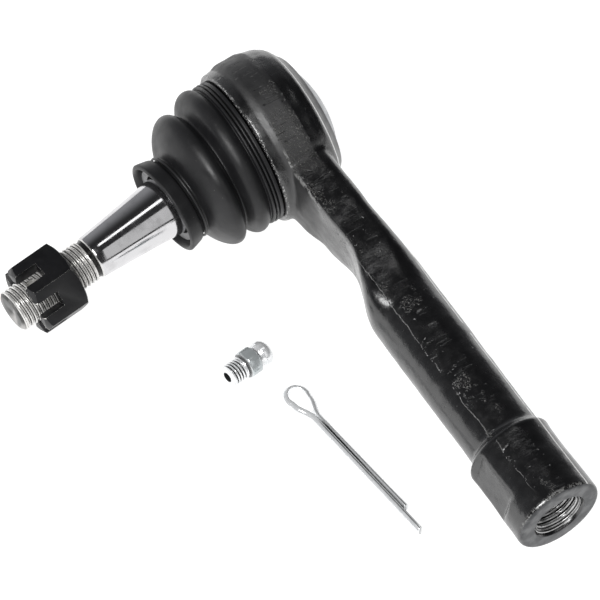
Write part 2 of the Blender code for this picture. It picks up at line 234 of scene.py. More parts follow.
def modified(mesh, tools, bevel=0.0, solver="EXACT"):
    """Apply booleans, given as (mesh, operation), and a bevel to a mesh in millimetres."""
    base = bpy.data.objects.new("work", mesh)
    bpy.context.scene.collection.objects.link(base)
    helpers = []
    for tool, operation in tools:
        helper = bpy.data.objects.new("tool", tool)
        bpy.context.scene.collection.objects.link(helper)
        helpers.append(helper)
        step = base.modifiers.new("cut", "BOOLEAN")
        step.operation = operation
        step.solver = solver
        step.object = helper
    if bevel:
        edge = base.modifiers.new("edge", "BEVEL")
        edge.width = bevel
        edge.segments = 2
        edge.limit_method = "ANGLE"
        edge.angle_limit = math.radians(28)
    result = evaluated(base)
    for item in [base] + helpers:
        bpy.data.objects.remove(item)
    return result


def evaluated(item):
    """Mesh of an object with its modifiers applied."""
    bpy.context.view_layer.update()
    graph = bpy.context.evaluated_depsgraph_get()
    return bpy.data.meshes.new_from_object(item.evaluated_get(graph))


def solid_box(size, centre, turn=0.0):
    build = bmesh.new()
    bmesh.ops.create_cube(build, size=1.0)
    bmesh.ops.scale(build, verts=build.verts, vec=size)
    bmesh.ops.rotate(build, verts=build.verts, matrix=Matrix.Rotation(turn, 3, "Z"))
    bmesh.ops.translate(build, verts=build.verts, vec=centre)
    mesh = bpy.data.meshes.new("box")
    build.to_mesh(mesh)
    build.free()
    return mesh


def hex_prism(name, across_flats, low, high, corner_angle):
    rows = []
    radius = across_flats / math.sqrt(3)
    for height in (low, high):
        rows.append([(radius * math.cos(corner_angle + k * math.pi / 3),
                      radius * math.sin(corner_angle + k * math.pi / 3), height)
                     for k in range(6)])
    return grid_mesh(name, rows)


# ---------------------------------------------------------------- material helpers
BLACK_PAINT = (0.004, 0.004, 0.0045)
BARE_STEEL = (0.42, 0.42, 0.41)
# Grey of the blasted flash speckle, made light enough to serve also as a painted highlight.
BLASTED_AND_SHEEN_GREY = (0.26, 0.255, 0.24)
# Painted highlight colour of the rolled rim line.
RIM_HIGHLIGHT_WHITE = (0.95, 0.95, 0.94)
LIP_GREY = (0.045, 0.046, 0.048)
SHEARED_BLACK = (0.0015, 0.0015, 0.0015)
OXIDE_BLACK = (0.006, 0.006, 0.007)


class Paint:
    """A Principled material with short calls for its texture nodes."""

    def __init__(self, name, colour, roughness, metallic=0.0, specular=0.5, coat=0.0, coat_rough=0.1):
        self.material = bpy.data.materials.new(name)
        self.material.use_nodes = True
        self.nodes = self.material.node_tree.nodes
        self.links = self.material.node_tree.links
        self.shader = self.nodes["Principled BSDF"]
        self.shader.inputs["Base Color"].default_value = (*colour, 1)
        self.shader.inputs["Roughness"].default_value = roughness
        self.shader.inputs["Metallic"].default_value = metallic
        self.shader.inputs["Specular IOR Level"].default_value = specular
        self.shader.inputs["Coat Weight"].default_value = coat
        self.shader.inputs["Coat Roughness"].default_value = coat_rough
        self.place = self.nodes.new("ShaderNodeTexCoord").outputs["Object"]
        self.normal = None

    def link(self, source, target):
        self.links.new(source, target)

    def value(self, operation, *inputs):
        node = self.nodes.new("ShaderNodeMath")
        node.operation = operation
        for socket, item in zip(node.inputs, inputs):
            if isinstance(item, (int, float)):
                socket.default_value = item
            else:
                self.link(item, socket)
        return node.outputs[0]

    def product(self, *factors):
        result = factors[0]
        for factor in factors[1:]:
            result = self.value("MULTIPLY", result, factor)
        return result

    def largest(self, *sources):
        result = sources[0]
        for source in sources[1:]:
            result = self.value("MAXIMUM", result, source)
        return result

    def near(self, source, at, wide, sharp):
        """One within sharp of a value, fading to nothing at wide."""
        off = self.value("ABSOLUTE", self.value("SUBTRACT", source, at))
        return self.step(off, wide, sharp)

    def along(self, origin, direction):
        """Distance in millimetres from a point along a direction."""
        shift = self.nodes.new("ShaderNodeVectorMath")
        shift.operation = "SUBTRACT"
        self.link(self.place, shift.inputs[0])
        shift.inputs[1].default_value = origin
        dot = self.nodes.new("ShaderNodeVectorMath")
        dot.operation = "DOT_PRODUCT"
        self.link(shift.outputs[0], dot.inputs[0])
        dot.inputs[1].default_value = direction
        return self.value("MULTIPLY", dot.outputs["Value"], 1000.0)

    def local(self, matrix, stretch=(1, 1, 1)):
        """Millimetre coordinates on the axes of a placing matrix, stretched per axis."""
        origin = matrix.to_translation()
        join = self.nodes.new("ShaderNodeCombineXYZ")
        for i in range(3):
            direction = matrix.col[i].to_3d().normalized()
            self.link(self.value("MULTIPLY", self.along(origin, direction), stretch[i]), join.inputs[i])
        return join.outputs[0]

    def noise(self, size, detail=4.0, rough=0.5, place=None, distortion=0.0):
        """Noise whose features are about size millimetres wide."""
        node = self.nodes.new("ShaderNodeTexNoise")
        node.inputs["Detail"].default_value = detail
        node.inputs["Roughness"].default_value = rough
        node.inputs["Distortion"].default_value = distortion
        if place is None:
            self.link(self.place, node.inputs["Vector"])
            node.inputs["Scale"].default_value = 1000.0 / size
        else:
            self.link(place, node.inputs["Vector"])
            node.inputs["Scale"].default_value = 1.0 / size
        return node.outputs["Fac"]

    def step(self, source, low, high, out_low=0.0, out_high=1.0):
        node = self.nodes.new("ShaderNodeMapRange")
        node.interpolation_type = "SMOOTHSTEP"
        self.link(source, node.inputs["Value"])
        node.inputs["From Min"].default_value = low
        node.inputs["From Max"].default_value = high
        node.inputs["To Min"].default_value = out_low
        node.inputs["To Max"].default_value = out_high
        return node.outputs["Result"]

    def mix(self, factor, first, second):
        node = self.nodes.new("ShaderNodeMix")
        node.data_type = "RGBA"
        self.link(factor, node.inputs["Factor"])
        for name, item in (("A", first), ("B", second)):
            socket = [s for s in node.inputs if s.name == name and s.type == "RGBA"][0]
            if isinstance(item, tuple):
                socket.default_value = (*item, 1)
            else:
                self.link(item, socket)
        return [s for s in node.outputs if s.type == "RGBA"][0]

    def radius(self, matrix):
        """Distance in millimetres from the local Z axis of a placing matrix."""
        origin = matrix.to_translation()
        squares = []
        for i in range(2):
            reach = self.along(origin, matrix.col[i].to_3d().normalized())
            squares.append(self.value("MULTIPLY", reach, reach))
        return self.value("SQRT", self.value("ADD", *squares))

    def bump(self, height, depth_mm, strength=1.0):
        node = self.nodes.new("ShaderNodeBump")
        node.inputs["Strength"].default_value = strength
        node.inputs["Distance"].default_value = depth_mm * MM
        self.link(height, node.inputs["Height"])
        if self.normal is not None:
            self.link(self.normal, node.inputs["Normal"])
        self.normal = node.outputs["Normal"]
        self.link(self.normal, self.shader.inputs["Normal"])

    def colour(self, socket):
        self.link(socket, self.shader.inputs["Base Color"])

    def rough(self, socket):
        self.link(socket, self.shader.inputs["Roughness"])


def parting_line(paint, x, y):
    """Thin trimmed seam along the stud's side of the shank: whole at first, then broken."""
    wobble = paint.product(paint.value("SUBTRACT", paint.noise(7.0, 4.0, 0.6), 0.5), 2.2)
    off_line = paint.value("ABSOLUTE", paint.value("ADD", paint.value("ADD", y, wobble), PARTING_AT))
    broken = paint.step(paint.noise(4.0, 5.0, 0.75), 0.50, 0.56)
    near_step = paint.product(paint.step(x, 97.0, 99.0), paint.step(x, 115.0, 113.0))
    broken = paint.largest(broken, paint.step(x, 84.0, 78.0), near_step)
    thin = paint.step(paint.noise(1.3, 4.0, 0.7), 0.36, 0.50, 0.35, 1.0)
    return paint.product(paint.step(off_line, 0.15, 0.03), paint.step(x, 46.0, 56.0), broken, thin,
                   paint.step(x, 136.0, 128.0))


def head_marks(paint, y, radius):
    """Painted highlight along the rolled rim, and the dotted wear on the shoulder above the boot."""
    # Painted highlight: a broken bright line along the rolled rim.
    rim_highlight = paint.product(paint.near(y, 9.75, 0.30, 0.10), paint.step(radius, 18.8, 19.3),
                  paint.step(paint.noise(5.0, 3.0), 0.30, 0.42))
    shoulder = paint.product(paint.near(y, -7.85, 0.40, 0.15),
                       paint.step(paint.noise(0.55, 2.0, 0.6), 0.55, 0.62),
                       paint.step(radius, 21.0, 21.6), paint.step(radius, 23.5, 23.0))
    return rim_highlight, shoulder


def shank_marks(paint, x, y, z):
    """Wear on the neck's square edge and chips on the rim of the shank's end."""
    edge = paint.product(paint.near(y, -3.75, 0.42, 0.15),
                   paint.step(paint.noise(1.6, 3.0, 0.7), 0.46, 0.56),
                   paint.step(x, 15.0, 17.0), paint.step(x, 36.0, 28.0))
    chips = paint.product(paint.step(x, SHANK_END - 1.6, SHANK_END - 0.3),
                    paint.step(paint.noise(0.8, 3.0, 0.7), 0.46, 0.56), paint.step(z, 3.0, 8.0))
    return paint.largest(edge, chips)


def forged_paint():
    """Semi-gloss black dipped over a forged skin, thin and scraped on the trimmed flash; the grey
    speckle there is also a painted highlight.
    """
    paint = Paint("forged_black", BLACK_PAINT, 0.26, specular=0.5)
    paint.shader.inputs["IOR"].default_value = 1.9
    x = paint.along(BALL, SHANK)
    y = paint.along(BALL, -SOCKET_OUT)
    z = paint.along(BALL, UP)
    radius = paint.value("SQRT", paint.value("ADD", paint.product(x, x), paint.product(z, z)))
    round_head = paint.step(x, 24.0, 19.0)
    lumps = paint.noise(9.0, 3.0, 0.45)
    skin = paint.noise(2.6, 5.0, 0.55)
    grain = paint.noise(0.55, 3.0, 0.6)
    pits = paint.step(paint.noise(1.7, 2.0, 0.4), 0.72, 0.80)
    nicks = paint.step(paint.noise(1.0, 1.0, 0.5), 0.79, 0.83)

    ragged = paint.product(paint.value("SUBTRACT", paint.noise(2.6, 4.0), 0.5), 2.4)
    band = paint.step(paint.value("ABSOLUTE", paint.value("ADD", y, ragged)), 3.9, 3.5)
    band = paint.product(band, paint.step(radius, 22.3, 22.7))
    # Speckled patch on the band: real blasted flash speckle, lightened as a painted highlight where
    # light falls on the band.
    speckle_and_sheen_patch = paint.product(paint.step(x, 6.0, 8.5), round_head)
    speckle_and_sheen_patch = paint.product(band, paint.largest(speckle_and_sheen_patch, paint.step(paint.noise(6.0, 2.0), 0.60, 0.66)))
    speckle = paint.step(paint.noise(0.5, 4.0, 0.8), 0.52, 0.66)
    shear = paint.product(paint.step(paint.noise(
        0.9, 2.0, 0.5, paint.local(PART, (1.0, 0.11, 1.0))), 0.60, 0.66), band, paint.step(
            paint.noise(7.0, 2.0), 0.44, 0.52))

    line = parting_line(paint, x, y)
    rim_highlight, shoulder = head_marks(paint, y, radius)
    lip = paint.product(paint.step(y, 9.9, 10.3), paint.step(x, 21.0, 20.0))
    bare = paint.largest(paint.product(line, 0.26), paint.product(nicks, 0.14),
                   paint.product(shoulder, 0.8), paint.product(shank_marks(paint, x, y, z), 0.55))
    tone = paint.mix(paint.product(speckle_and_sheen_patch, speckle), BLACK_PAINT, BLASTED_AND_SHEEN_GREY)
    tone = paint.mix(paint.product(lip, 0.8), tone, LIP_GREY)
    tone = paint.mix(bare, tone, BARE_STEEL)
    tone = paint.mix(shear, tone, SHEARED_BLACK)
    paint.colour(paint.mix(rim_highlight, tone, RIM_HIGHLIGHT_WHITE))

    blasted = paint.product(paint.largest(paint.near(y, -0.8, 5.2, 3.9), band), round_head)
    root = paint.product(paint.step(x, 40.0, 28.0), paint.step(y, -3.5, -4.3),
                   paint.step(x, 19.0, 23.0))
    matt = paint.largest(blasted, paint.product(lip, 0.5), paint.product(round_head, 0.12),
                   paint.product(root, 0.85))
    paint.rough(paint.value("ADD", paint.step(skin, 0.35, 0.7, 0.19, 0.28),
                            paint.product(matt, 0.30)))
    paint.bump(lumps, 0.5, 0.4)
    paint.bump(skin, 0.16, 0.6)
    paint.bump(grain, 0.045, 0.5)
    paint.bump(paint.value("SUBTRACT", paint.product(speckle, speckle_and_sheen_patch), shear), 0.20, 0.9)
    paint.bump(paint.value("SUBTRACT", paint.largest(line, nicks), pits), 0.08, 0.7)
    return paint.material


def machined_end():
    """Faced ring at the shank's end with fine turning marks."""
    paint = Paint("faced_end", (0.095, 0.097, 0.10), 0.42, metallic=0.75)
    marks = paint.noise(0.5, 4.0, 0.7)
    paint.colour(paint.mix(paint.step(paint.noise(3.0, 4.0), 0.35, 0.7), (0.070, 0.072, 0.075),
                           (0.15, 0.152, 0.155)))
    paint.bump(marks, 0.05, 0.6)
    return paint.material


def bright_steel(name, colour, roughness, matrix, grind, marks):
    """Ground steel; the grinding marks run round the local Z axis."""
    paint = Paint(name, colour, roughness, metallic=1.0)
    lines = paint.noise(0.9, 5.0, 0.65, paint.local(matrix, marks))
    blotch = paint.noise(4.0, 3.0, 0.5)
    paint.rough(paint.value("ADD", paint.step(lines, 0.3, 0.75, -0.02, 0.05),
                            paint.step(blotch, 0.35, 0.7, roughness - 0.02, roughness + 0.04)))
    paint.colour(paint.mix(paint.step(blotch, 0.45, 0.75), colour, tuple(c * 0.86 for c in colour)))
    paint.bump(lines, grind, 0.35)
    return paint.material


def threaded_steel(name, matrix, root_radius, crest_radius, colour):
    """Thread with painted highlights on the crests and roots, and painted shade darkening the flanks
    between them.
    """
    paint = Paint(name, colour, 0.24, metallic=0.55)
    height = paint.step(paint.radius(matrix), root_radius, crest_radius)
    # Painted highlight on crests and roots; the flanks get painted shade.
    crest_and_root_highlight = paint.largest(paint.step(height, 0.78, 0.90), paint.step(height, 0.14, 0.06))
    painted_flank_shade = tuple(c * 0.03 for c in colour)
    paint.colour(paint.mix(crest_and_root_highlight, painted_flank_shade, colour))
    paint.rough(paint.step(paint.noise(1.5, 4.0), 0.3, 0.7, 0.18, 0.32))
    paint.bump(paint.noise(0.4, 3.0), 0.012, 0.5)
    return paint.material


def shaded_stud_end():
    """End face of the stud, cropped and dull; its colour is darkened by painted shade and crossed by a
    painted shadow streak.
    """
    paint = Paint("shaded_stud_end", (0.30, 0.30, 0.29), 0.38, metallic=1.0)
    # Painted shadow: a dark streak across the end face over a face darkened overall.
    shadow_streak = paint.noise(4.5, 2.0, 0.4, paint.local(TILTED, (1.0, 0.4, 1.0)))
    paint.colour(paint.mix(paint.step(shadow_streak, 0.42, 0.60), (0.09, 0.09, 0.088), (0.46, 0.45, 0.44)))
    paint.bump(paint.noise(0.7, 4.0, 0.6), 0.05, 0.6)
    return paint.material


def zinc_paint(name):
    paint = Paint(name, (0.80, 0.81, 0.83), 0.16, metallic=0.45, specular=0.8)
    cloud = paint.noise(1.6, 4.0, 0.6)
    paint.rough(paint.step(cloud, 0.35, 0.7, 0.12, 0.24))
    tone = paint.mix(paint.step(cloud, 0.4, 0.75), (0.97, 0.98, 0.99), (0.80, 0.82, 0.83))
    paint.bump(paint.noise(0.35, 3.0, 0.6), 0.02, 0.5)
    return paint, tone


def zinc_wire():
    """Zinc-plated wire; painted shade darkens the gap between the legs, and two thin painted reflection
    lines run dark along the legs.
    """
    paint, tone = zinc_paint("zinc_wire")
    origin = PIN.to_translation()
    x = paint.along(origin, PIN.col[0].to_3d().normalized())
    y = paint.along(origin, PIN.col[1].to_3d().normalized())
    # Painted shade in the gap between the legs.
    gap_shade_and_reflection_lines = paint.step(paint.value("ABSOLUTE", y), 0.34, 0.20)
    # Painted dark reflection lines along the legs.
    for at in (0.98, -0.62):
        gap_shade_and_reflection_lines = paint.largest(gap_shade_and_reflection_lines, paint.product(paint.near(y, at, 0.20, 0.08), 0.8))
    gap_shade_and_reflection_lines = paint.product(gap_shade_and_reflection_lines, paint.step(x, 9.0, 13.0))
    paint.colour(paint.mix(gap_shade_and_reflection_lines, tone, (0.06, 0.065, 0.065)))
    return paint.material


def zinc_nipple():
    """Zinc-plated nipple with painted shade in the thread roots, the bore and the creases where the
    stem meets the hex, and darker hex corners.
    """
    paint, tone = zinc_paint("zinc_nipple")
    radius = paint.radius(NIPPLE_AXES)
    along = paint.along(NIPPLE_AXES.to_translation(), NIPPLE)
    # Painted shade in the thread roots, the bore and the creases where the stem meets the hex.
    root = paint.product(paint.step(radius, 3.0, 2.75), paint.step(along, -2.3, -2.7),
                         paint.step(along, -7.25, -7.0))
    bore = paint.step(radius, 1.6, 1.4)
    crease_shade_rims = paint.largest(paint.near(along, 2.15, 0.35, 0.10), paint.near(along, -1.95, 0.35, 0.10))
    hexagon = paint.product(paint.step(radius, 3.2, 3.5), paint.step(along, -1.8, -1.5),
                            paint.step(along, 2.0, 1.7))
    tone = paint.mix(paint.product(hexagon, 0.7), tone, (0.42, 0.47, 0.48))
    recess_shade = paint.largest(root, bore, paint.product(crease_shade_rims, 0.8))
    paint.colour(paint.mix(recess_shade, tone, (0.04, 0.043, 0.043)))
    return paint.material


def black_oxide():
    paint = Paint("black_oxide", OXIDE_BLACK, 0.30, specular=0.45)
    cloud = paint.noise(2.2, 5.0, 0.6)
    rub = paint.step(paint.noise(0.6, 4.0, 0.7), 0.66, 0.76)
    paint.colour(paint.mix(paint.product(rub, 0.4), OXIDE_BLACK, (0.10, 0.097, 0.09)))
    paint.rough(paint.step(cloud, 0.3, 0.7, 0.28, 0.46))
    paint.bump(paint.noise(0.5, 4.0, 0.6), 0.035, 0.6)
    return paint.material


def worn_edge():
    """Corner of the nut where the oxide has rubbed through to bright metal."""
    paint = Paint("rubbed_edge", (0.2, 0.2, 0.2), 0.42, metallic=0.1)
    rub = paint.step(paint.noise(1.6, 4.0, 0.65), 0.26, 0.42)
    paint.colour(paint.mix(rub, (0.05, 0.05, 0.05), (0.85, 0.84, 0.80)))
    return paint.material


def boot_rubber():
    paint = Paint("boot_rubber", (0.012, 0.012, 0.013), 0.42, specular=0.42)
    cloud = paint.noise(7.0, 4.0, 0.55)
    bloom = paint.step(paint.noise(2.2, 5.0, 0.6, distortion=0.6), 0.52, 0.78)
    speck = paint.step(paint.noise(0.55, 2.0, 0.5), 0.755, 0.79)
    tone = paint.mix(paint.product(bloom, 0.35), (0.011, 0.011, 0.012), (0.030, 0.030, 0.031))
    paint.colour(paint.mix(paint.product(speck, 0.5), tone, (0.20, 0.19, 0.18)))
    paint.rough(paint.step(cloud, 0.3, 0.7, 0.36, 0.52))
    paint.bump(paint.noise(0.35, 3.0, 0.55), 0.02, 0.6)
    paint.bump(paint.noise(4.5, 2.0, 0.5), 0.18, 0.35)
    return paint.material


def plain(name, colour, roughness, metallic=0.0, size=0.8, depth=0.03):
    paint = Paint(name, colour, roughness, metallic)
    cloud = paint.noise(size * 3, 4.0, 0.55)
    paint.colour(paint.mix(paint.step(cloud, 0.35, 0.7), colour, tuple(c * 0.8 for c in colour)))
    paint.rough(paint.step(cloud, 0.3, 0.7, roughness - 0.05, roughness + 0.08))
    paint.bump(paint.noise(size, 3.0), depth, 0.5)
    return paint.material


# ---------------------------------------------------------------- housing
STUD_SIDE = ((4, -6.2), (20, -6.6), (25, -6.2), (34, -4.4), (45, -3.2), (67, -9.1), (110, -9.1))
EDGE_SIDE = ((4, -3.7), (20, -3.7), (30, -3.9), (45, -3.0), (67, -9.1), (110, -9.1))
COVER_SIDE = ((4, 8.0), (20, 8.6), (34, 8.9), (64, 11.3), (110, 11.3))
HALF_HEIGHT = ((4, 14.2), (20, 13.5), (32, 12.4), (42, 11.7), (67, 10.2), (110, 10.2))
EDGE_SQUARENESS = ((4, 18.0), (48, 16.0), (58, 5.0), (68, 2.05), (110, 2.0))
SQUARENESS = ((4, 3.6), (36, 3.4), (64, 2.05), (110, 2.0))
LOFT_POINTS = 200


def shank_row(x, centre, half_width, half_height, power, edge_power, edge):
    """One section of the shank; its upper edge on the stud's side is square and set in."""
    row = []
    set_in = edge - (centre - half_width)
    for i in range(LOFT_POINTS):
        angle = math.tau * i / LOFT_POINTS
        c = math.cos(angle)
        s = math.sin(angle)
        on_edge = math.pi / 2 < angle < math.pi
        p = edge_power if on_edge else power
        size = (abs(c) ** p + abs(s) ** p) ** (-1.0 / p)
        across = half_width * size * c
        height = half_height * size * s
        if on_edge:
            across += set_in * (height / half_height) * abs(across) / half_width
        row.append((x, centre + across, height))
    return row


def end_row(x, centre, radius, flat_half):
    """Round section with two opposite wrench flats."""
    row = []
    for i in range(LOFT_POINTS):
        angle = math.tau * i / LOFT_POINTS
        facing = abs(math.cos(angle - FLAT_TURN))
        size = min(radius, flat_half / max(facing, 0.5))
        row.append((x, centre + size * math.cos(angle), size * math.sin(angle)))
    return row


def shank_rows():
    rows = []
    x = 4.0
    while x < FLATS_START - 2.0:
        low = between(x, STUD_SIDE)
        high = between(x, COVER_SIDE)
        rows.append(shank_row(x, (low + high) / 2, (high - low) / 2, between(x, HALF_HEIGHT),
                              between(x, SQUARENESS), between(x, EDGE_SQUARENESS),
                              between(x, EDGE_SIDE)))
        x += 1.0
    for at, centre, radius, flat_half in (
            (FLATS_START - 1.3, SHANK_SIDE, SHANK_R, END_R),
            (FLATS_START - 0.5, SHANK_SIDE - 0.1, SHANK_R + 0.25, END_R),
            (FLATS_START + 0.7, END_SIDE + 0.2, END_R - 0.6, END_R),
            (FLATS_START + 1.2, END_SIDE + 0.1, END_R - 0.1, END_R),
            (FLATS_START + 1.7, END_SIDE, END_R, END_R - 0.15),
            (FLATS_START + 3.2, END_SIDE, END_R - 0.1, FLAT_HALF),
            (FLATS_START + 10.0, END_SIDE, END_R - 0.2, FLAT_HALF),
            (FLATS_END - 1.2, END_SIDE, END_R, FLAT_HALF),
            (FLATS_END, END_SIDE, END_R, END_R - 0.4),
            (FLATS_END + 0.8, END_SIDE, END_R, END_R),
            (SHANK_END - 0.9, END_SIDE, END_R + 0.1, END_R + 0.1),
            (SHANK_END - 0.5, END_SIDE, END_R, END_R),
            (SHANK_END + 0.15, END_SIDE, END_R - 0.5, END_R)):
        rows.append(end_row(at, centre, radius, flat_half))
    return rows


HEAD_PROFILE = (
    (0, 11.4), (17.4, 11.4), (17.8, 11.0), (17.8, 8.0), (21.6, 8.1), (22.2, 7.7), (22.5, 5.8),
    (22.6, 4.9), (23.05, 4.1), (23.25, 3.2), (23.15, -2.4), (22.75, -3.6), (22.3, -5.2),
    (21.9, -7.0), (20.9, -9.0), (19.9, -9.85), (16.6, -9.85), (0, -9.85))
LIP_PROFILE = (
    (0, -8.8), (20.0, -8.8), (20.3, -9.5), (20.0, -9.9), (19.7, -10.1), (18.9, -10.6),
    (17.9, -11.2), (17.3, -11.8), (16.9, -12.15), (16.4, -12.2), (0, -12.2))


def forge_skin(mesh):
    """Shallow hammer and scale lumps, in part millimetres."""
    outward = [vertex.normal.copy() for vertex in mesh.vertices]
    for vertex, normal in zip(mesh.vertices, outward):
        spot = vertex.co
        lump = noise.noise(spot * 0.11) * 0.14 + noise.noise(spot * 0.31 + Vector((7, 3, 1))) * 0.06
        if spot.x > SHANK_END - 3.0 or (abs(spot.y) > 7.5 and spot.x < 18):
            lump *= 0.15
        vertex.co = spot + normal * lump


def soften_root(block):
    """Fillet where the shank leaves the head; other edges keep only a light rounding."""
    root = block.vertex_groups.new(name="root")
    light = block.vertex_groups.new(name="light")
    for vertex in block.data.vertices:
        x, y, z = vertex.co
        radius = math.hypot(x, z)
        share = ease(radius, 21.5, 23.2) * (1 - ease(radius, 25.5, 29.0)) if x > 0 else 0.0
        share *= 1 - ease(z, 12.4, 13.2) * ease(-y, 2.5, 3.3)
        share *= ease(-y, -9.5, -6.0) if y > 0 else 1.0
        if share > 0:
            root.add([vertex.index], share, "REPLACE")
        light.add([vertex.index], 1.0, "REPLACE")
    for group, factor, times in (("root", 0.5, 14), ("light", 0.4, 1)):
        soften = block.modifiers.new(group, "SMOOTH")
        soften.factor = factor
        soften.iterations = times
        soften.vertex_group = group


def make_housing(paint, face, steel):
    turn = Matrix.Rotation(math.pi / 2, 4, "X")
    head = turned("head", HEAD_PROFILE, 192)
    head.transform(turn)
    body = modified(grid_mesh("shank", shank_rows()), ((head, "UNION"),))
    block = bpy.data.objects.new("block", body)
    bpy.context.scene.collection.objects.link(block)
    voxel = block.modifiers.new("voxel", "REMESH")
    voxel.mode = "VOXEL"
    voxel.voxel_size = 0.4
    block.data = evaluated(block)
    block.modifiers.clear()
    soften_root(block)
    skin = evaluated(block)
    bpy.data.objects.remove(block)
    forge_skin(skin)
    socket = turned("socket", (
        (0, 12.5), (12.6, 12.5), (12.0, 11.4), (11.2, 9.2), (10.4, 7.4), (10.4, 6.8), (14.2, 3.6),
        (14.2, -9.6), (16.6, -9.6), (16.6, -11.5), (15.2, -11.5), (15.5, -14.0), (0, -14.0)), 128)
    socket.transform(turn)
    bore = turned("bore", (
        (0, 3.0), (BORE_MOUTH_R + 3.0, 3.0), (BORE_MOUTH_R, 0.0), (BORE_MAJOR_R + 0.05, -0.9),
        (BORE_MAJOR_R + 0.05, -BORE_DEPTH), (0, -BORE_DEPTH - 4.0)), 96)
    along = Matrix.Translation((SHANK_END, END_SIDE, 0)) @ Matrix.Rotation(math.pi / 2, 4, "Y")
    bore.transform(along)
    lip = turned("lip", LIP_PROFILE, 192)
    lip.transform(turn)
    skin = modified(skin, ((lip, "UNION"), (socket, "DIFFERENCE"), (bore, "DIFFERENCE")),
                    solver="MANIFOLD")
    piece = new_piece("housing_forging", skin, PART, "housing", (paint, face), 30.0)
    for polygon in piece.data.polygons:
        reach = (polygon.center - BALL).dot(SHANK) / MM
        if reach > SHANK_END - 1.2 and polygon.normal.dot(SHANK) > 0.55:
            polygon.material_index = 1
    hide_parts("forged_housing")

    inner = thread_rows(BORE_MINOR_R + BORE_THREAD_DEPTH, -BORE_DEPTH + 1.0, -0.7, BORE_PITCH,
                        BORE_THREAD_DEPTH, 96, 10, 0.6)
    outer = [ring(BORE_MAJOR_R + 0.03, height, 96) for height in (-0.7, -BORE_DEPTH + 1.0)]
    thread = grid_mesh("thread", inner + outer, closed_rows=True)
    thread.transform(along)
    piece = new_piece("shank_thread", thread, PART, "housing", (steel,), 60.0)


# ---------------------------------------------------------------- boot
BOOT_FOOT_END = 12.0
BOOT_NECK_START = 28.6
BOOT_OUTER = (
    (12.9, 35.75), (13.45, 35.45), (13.5, 34.9), (13.1, 33.2), (12.7, 31.8), (12.2, 31.2),
    (11.6, 30.95), (11.5, 30.6), (11.5, 29.3), (11.8, 28.9), (12.6, 28.5), (14.6, 27.8),
    (17.0, 26.4), (18.9, 24.7), (19.7, 23.3), (19.8, 22.0), (19.2, 20.9), (18.0, 20.0),
    (17.1, 19.3), (17.3, 18.7), (18.6, 17.9), (20.1, 17.0), (21.0, 15.9), (21.35, 14.6),
    (21.1, 13.4), (20.4, 12.5), (19.95, 12.1), (19.95, 11.85), (20.4, 11.7), (20.75, 11.45),
    (20.75, 11.0), (20.4, 10.75), (20.0, 10.6), (19.95, 10.15), (20.0, 9.7), (20.4, 9.55),
    (20.8, 9.3), (20.85, 8.7), (20.7, 8.4), (19.8, 8.35))
BOOT_INNER = (
    (18.15, 8.35), (18.1, 10.0), (18.2, 11.7), (18.9, 13.0), (19.3, 14.4), (18.6, 16.2),
    (16.6, 17.6), (15.1, 19.1), (16.0, 20.6), (17.6, 22.2), (17.3, 23.5), (15.3, 24.9),
    (12.6, 26.2), (10.0, 27.4), (8.8, 28.9), (8.65, 30.5), (8.8, 32.4), (9.4, 33.05),
    (11.0, 33.1), (11.6, 33.8), (12.0, 35.0), (12.4, 35.7))


def make_boot(rubber):
    """Pleated boot turned about the socket, its small end leaning with the stud."""
    profile = rounded(BOOT_OUTER + BOOT_INNER, 4, closed=True)
    mesh = turned("boot", profile, 144, closed=True)
    for vertex in mesh.vertices:
        share = ease(vertex.co.z, BOOT_FOOT_END, BOOT_NECK_START)
        lean = Matrix.Rotation(STUD_LEAN * share, 3, "Y")
        sag = noise.noise(vertex.co * 0.09 + Vector((3, 8, 5))) * 0.22 * ease(vertex.co.z, 12, 14)
        sag *= 1 - ease(vertex.co.z, 26, 30)
        reach = vertex.co.to_2d().normalized() * sag
        vertex.co = lean @ (vertex.co + Vector((reach.x, reach.y, 0)))
    boot = new_piece("boot", mesh, SOCKET, None, (rubber,), 50.0)
    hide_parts("dust_boot")
    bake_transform(boot)


def make_boot_rings(ring_steel, bright):
    band = [(12.15 + 0.35 * math.cos(a), 30.1 + 0.42 * math.sin(a))
            for a in (math.tau * i / 12 for i in range(12))]
    piece = new_piece("neck_ring", turned("neck_ring", band, 128, closed=True), TILTED,
                      "boot_collar", (ring_steel,))
    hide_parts("boot_neck_ring")
    insert = ((10.9, 34.25), (10.9, 33.35), (9.0, 33.35), (9.0, 33.9), (9.3, 34.1))
    piece = new_piece("collar_insert", turned("collar_insert", insert, 128, closed=True), TILTED,
                      "boot_collar", (bright,))
    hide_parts("boot_collar_insert")
    wire = [(20.55 + 0.35 * math.cos(a), 10.15 + 0.35 * math.sin(a))
            for a in (math.tau * i / 12 for i in range(12))]
    piece = new_piece("retaining_ring", turned("retaining_ring", wire, 160, closed=True), SOCKET,
                      "housing", (ring_steel,))
    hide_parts("boot_retaining_ring")


# ---------------------------------------------------------------- stud and nut
def ball_rows(radius, top, bottom, steps, count):
    first = math.asin(top / radius)
    last = math.asin(bottom / radius)
    rows = []
    for i in range(count):
        angle = first + (last - first) * i / (count - 1)
        rows.append(ring(radius * math.cos(angle), radius * math.sin(angle), steps))
    return rows


